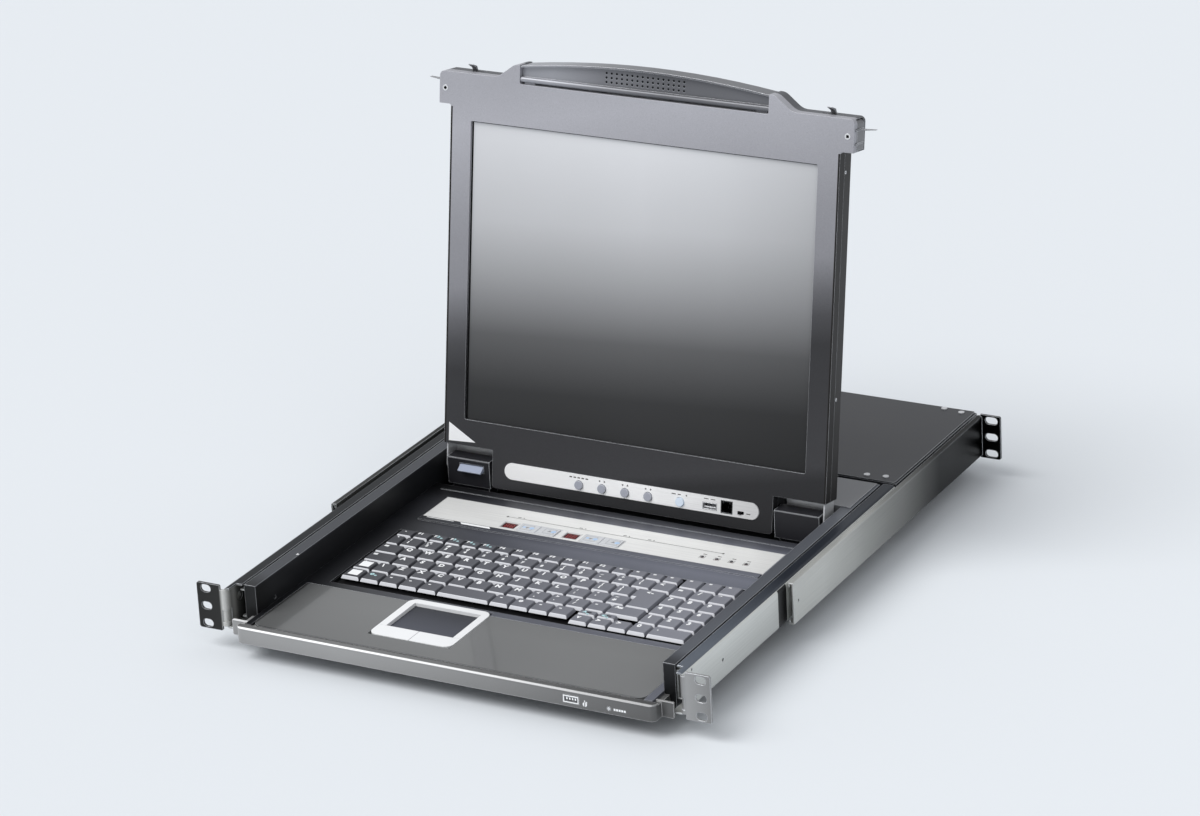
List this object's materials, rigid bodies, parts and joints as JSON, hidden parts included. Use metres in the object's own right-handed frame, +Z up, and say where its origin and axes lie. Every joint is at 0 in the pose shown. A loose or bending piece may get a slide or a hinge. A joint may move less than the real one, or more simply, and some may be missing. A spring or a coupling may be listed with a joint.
{
  "type": "rack console drawer",
  "caption": "Rack mounted console drawer one unit high: flip-up screen over a keyboard and touchpad on sliding rails, with rear box and rear brackets.",
  "frame": {"origin": "centre of the front ears' hole pattern, at the ears' front faces", "axes": "+X to the right, +Y to the back of the rack, +Z up"},
  "size_m": [0.4826, 0.5969, 0.3997],
  "materials": {
    "bracket_guides": "satin",
    "catch_left": "satin",
    "catch_right": "satin",
    "console_ports": "polished",
    "control_strip": "satin",
    "cover_screws": "polished",
    "deck_bezel": "matte",
    "display_module": "matte",
    "front_ear_left": "matte",
    "front_ear_right": "matte",
    "front_fascia": "satin",
    "front_ports": "polished",
    "handle": "gloss",
    "hinge_arms": "satin",
    "hinge_block_left": "satin",
    "hinge_block_right": "satin",
    "hinge_shafts": "satin",
    "keyboard_base": "matte",
    "keyboard_lamp": "gloss",
    "keys_bottom": "matte",
    "keys_function": "matte",
    "keys_home": "matte",
    "keys_lower": "matte",
    "keys_number": "matte",
    "keys_upper": "matte",
    "lcd_back": "satin",
    "lcd_bezel": "satin",
    "lcd_driver_board": "matte",
    "lcd_panel": "gloss",
    "lcd_power_button": "gloss",
    "main_board": "matte",
    "mid_cover": "satin",
    "osd_button_1": "gloss",
    "osd_button_2": "gloss",
    "osd_button_3": "gloss",
    "osd_button_4": "gloss",
    "osd_plate": "satin",
    "pad_button_left": "gloss",
    "pad_button_right": "gloss",
    "palm_rest": "gloss",
    "port_rocker_1": "gloss",
    "port_rocker_2": "gloss",
    "power_inlet": "matte",
    "power_supply": "satin",
    "power_switch": "matte",
    "rail_left": "satin",
    "rail_right": "satin",
    "rear_bracket_left": "satin",
    "rear_bracket_right": "satin",
    "rear_chassis": "satin",
    "rear_cover": "satin",
    "service_ports": "polished",
    "service_switch": "matte",
    "slide_inner": "satin",
    "slide_middle": "satin",
    "space_bar": "matte",
    "touchpad": "matte",
    "touchpad_frame": "gloss",
    "tray": "satin"
  },
  "bodies": {
    "frame": {"rail_left": "rail_left", "rail_right": "rail_right", "front_ear_left": "front_ear_left", "front_ear_right": "front_ear_right", "bracket_guides": "bracket_guides", "rear_chassis": "rear_chassis", "rear_cover": "rear_cover", "main_board": "main_board", "power_supply": "power_supply", "power_inlet": "power_inlet", "console_ports": "console_ports", "cover_screws": "cover_screws"},
    "bracket_left": {"rear_bracket_left": "rear_bracket_left"},
    "bracket_right": {"rear_bracket_right": "rear_bracket_right"},
    "middle_slides": {"slide_middle": "slide_middle"},
    "drawer": {"tray": "tray", "slide_inner": "slide_inner", "front_fascia": "front_fascia", "palm_rest": "palm_rest", "deck_bezel": "deck_bezel", "control_strip": "control_strip", "display_module": "display_module", "touchpad_frame": "touchpad_frame", "touchpad": "touchpad", "keyboard_base": "keyboard_base", "front_ports": "front_ports", "hinge_block_left": "hinge_block_left", "hinge_block_right": "hinge_block_right", "mid_cover": "mid_cover"},
    "screen": {"lcd_bezel": "lcd_bezel", "lcd_back": "lcd_back", "lcd_panel": "lcd_panel", "lcd_driver_board": "lcd_driver_board", "osd_plate": "osd_plate", "service_ports": "service_ports", "handle": "handle", "hinge_arms": "hinge_arms", "hinge_shafts": "hinge_shafts"},
    "rear_switch": {"power_switch": "power_switch"},
    "catch_left_body": {"catch_left": "catch_left"},
    "catch_right_body": {"catch_right": "catch_right"},
    "menu_button_1": {"osd_button_1": "osd_button_1"},
    "menu_button_2": {"osd_button_2": "osd_button_2"},
    "menu_button_3": {"osd_button_3": "osd_button_3"},
    "menu_button_4": {"osd_button_4": "osd_button_4"},
    "screen_power_button": {"lcd_power_button": "lcd_power_button"},
    "service_switch_knob": {"service_switch": "service_switch"},
    "selector_1": {"port_rocker_1": "port_rocker_1"},
    "selector_2": {"port_rocker_2": "port_rocker_2"},
    "click_left": {"pad_button_left": "pad_button_left"},
    "click_right": {"pad_button_right": "pad_button_right"},
    "keys_function_body": {"keys_function": "keys_function"},
    "keys_number_body": {"keys_number": "keys_number"},
    "keys_upper_body": {"keys_upper": "keys_upper"},
    "keys_home_body": {"keys_home": "keys_home"},
    "keys_lower_body": {"keys_lower": "keys_lower"},
    "keys_bottom_body": {"keys_bottom": "keys_bottom"},
    "space_bar_body": {"space_bar": "space_bar"},
    "lamp_flap": {"keyboard_lamp": "keyboard_lamp"}
  },
  "joints": [
    {"name": "bracket_left_slide", "type": "slide", "parent": "frame", "child": "bracket_left", "axis": [0, 1, 0], "range_m": [-0.055, 0.27]},
    {"name": "bracket_right_slide", "type": "slide", "parent": "frame", "child": "bracket_right", "axis": [0, 1, 0], "range_m": [-0.055, 0.27]},
    {"name": "drawer_slide", "type": "slide", "parent": "frame", "child": "drawer", "axis": [0, -1, 0], "range_m": [0, 0.4]},
    {"name": "middle_slide", "type": "slide", "parent": "frame", "child": "middle_slides", "axis": [0, -1, 0], "range_m": [0, 0.2]},
    {"name": "screen_hinge", "type": "hinge", "parent": "drawer", "child": "screen", "pos_m": [0, 0.333, 0.011], "axis": [1, 0, 0], "range_deg": [-12, 99.4]},
    {"name": "rear_switch_tilt", "type": "hinge", "parent": "frame", "child": "rear_switch", "pos_m": [0.112, 0.58, -0.001], "axis": [0, 0, 1], "range_deg": [-14, 0]},
    {"name": "catch_left_slide", "type": "slide", "parent": "screen", "child": "catch_left_body", "axis": [1, 0, 0], "range_m": [0, 0.008], "stiffness_N_per_m": 300, "springref_m": -0.003},
    {"name": "catch_right_slide", "type": "slide", "parent": "screen", "child": "catch_right_body", "axis": [-1, 0, 0], "range_m": [0, 0.008], "stiffness_N_per_m": 300, "springref_m": -0.003},
    {"name": "menu_button_1_press", "type": "slide", "parent": "screen", "child": "menu_button_1", "axis": [0, 0.9865, -0.1635], "range_m": [0, 0.0008], "stiffness_N_per_m": 600, "springref_m": -0.0005},
    {"name": "menu_button_2_press", "type": "slide", "parent": "screen", "child": "menu_button_2", "axis": [0, 0.9865, -0.1635], "range_m": [0, 0.0008], "stiffness_N_per_m": 600, "springref_m": -0.0005},
    {"name": "menu_button_3_press", "type": "slide", "parent": "screen", "child": "menu_button_3", "axis": [0, 0.9865, -0.1635], "range_m": [0, 0.0008], "stiffness_N_per_m": 600, "springref_m": -0.0005},
    {"name": "menu_button_4_press", "type": "slide", "parent": "screen", "child": "menu_button_4", "axis": [0, 0.9865, -0.1635], "range_m": [0, 0.0008], "stiffness_N_per_m": 600, "springref_m": -0.0005},
    {"name": "screen_power_press", "type": "slide", "parent": "screen", "child": "screen_power_button", "axis": [0, 0.9865, -0.1635], "range_m": [0, 0.0008], "stiffness_N_per_m": 600, "springref_m": -0.0005},
    {"name": "service_switch_slide", "type": "slide", "parent": "screen", "child": "service_switch_knob", "axis": [1, 0, 0], "range_m": [0, 0.0022]},
    {"name": "selector_1_tilt", "type": "hinge", "parent": "drawer", "child": "selector_1", "pos_m": [-0.0555, 0.254, -0.0072], "axis": [0, 1, 0], "range_deg": [-2.4, 2.4], "stiffness_Nm_per_rad": 0.5},
    {"name": "selector_2_tilt", "type": "hinge", "parent": "drawer", "child": "selector_2", "pos_m": [0.0069, 0.254, -0.0072], "axis": [0, 1, 0], "range_deg": [-2.4, 2.4], "stiffness_Nm_per_rad": 0.5},
    {"name": "click_left_press", "type": "slide", "parent": "drawer", "child": "click_left", "axis": [0, 0, -1], "range_m": [0, 0.0005], "stiffness_N_per_m": 800, "springref_m": -0.0005},
    {"name": "click_right_press", "type": "slide", "parent": "drawer", "child": "click_right", "axis": [0, 0, -1], "range_m": [0, 0.0005], "stiffness_N_per_m": 800, "springref_m": -0.0005},
    {"name": "keys_function_press", "type": "slide", "parent": "drawer", "child": "keys_function_body", "axis": [0, 0, -1], "range_m": [0, 0.0025], "stiffness_N_per_m": 400, "springref_m": -0.002},
    {"name": "keys_number_press", "type": "slide", "parent": "drawer", "child": "keys_number_body", "axis": [0, 0, -1], "range_m": [0, 0.0025], "stiffness_N_per_m": 400, "springref_m": -0.002},
    {"name": "keys_upper_press", "type": "slide", "parent": "drawer", "child": "keys_upper_body", "axis": [0, 0, -1], "range_m": [0, 0.0025], "stiffness_N_per_m": 400, "springref_m": -0.002},
    {"name": "keys_home_press", "type": "slide", "parent": "drawer", "child": "keys_home_body", "axis": [0, 0, -1], "range_m": [0, 0.0025], "stiffness_N_per_m": 400, "springref_m": -0.002},
    {"name": "keys_lower_press", "type": "slide", "parent": "drawer", "child": "keys_lower_body", "axis": [0, 0, -1], "range_m": [0, 0.0025], "stiffness_N_per_m": 400, "springref_m": -0.002},
    {"name": "keys_bottom_press", "type": "slide", "parent": "drawer", "child": "keys_bottom_body", "axis": [0, 0, -1], "range_m": [0, 0.0025], "stiffness_N_per_m": 400, "springref_m": -0.002},
    {"name": "space_bar_press", "type": "slide", "parent": "drawer", "child": "space_bar_body", "axis": [0, 0, -1], "range_m": [0, 0.0025], "stiffness_N_per_m": 400, "springref_m": -0.002},
    {"name": "lamp_tilt", "type": "hinge", "parent": "drawer", "child": "lamp_flap", "pos_m": [-0.1585, 0.3212, 0.0086], "axis": [1, 0, 0], "range_deg": [-12, 12]}
  ],
  "couplings": [
    {"joint": "middle_slide", "follows": "drawer_slide", "ratio": 0.5}
  ]
}
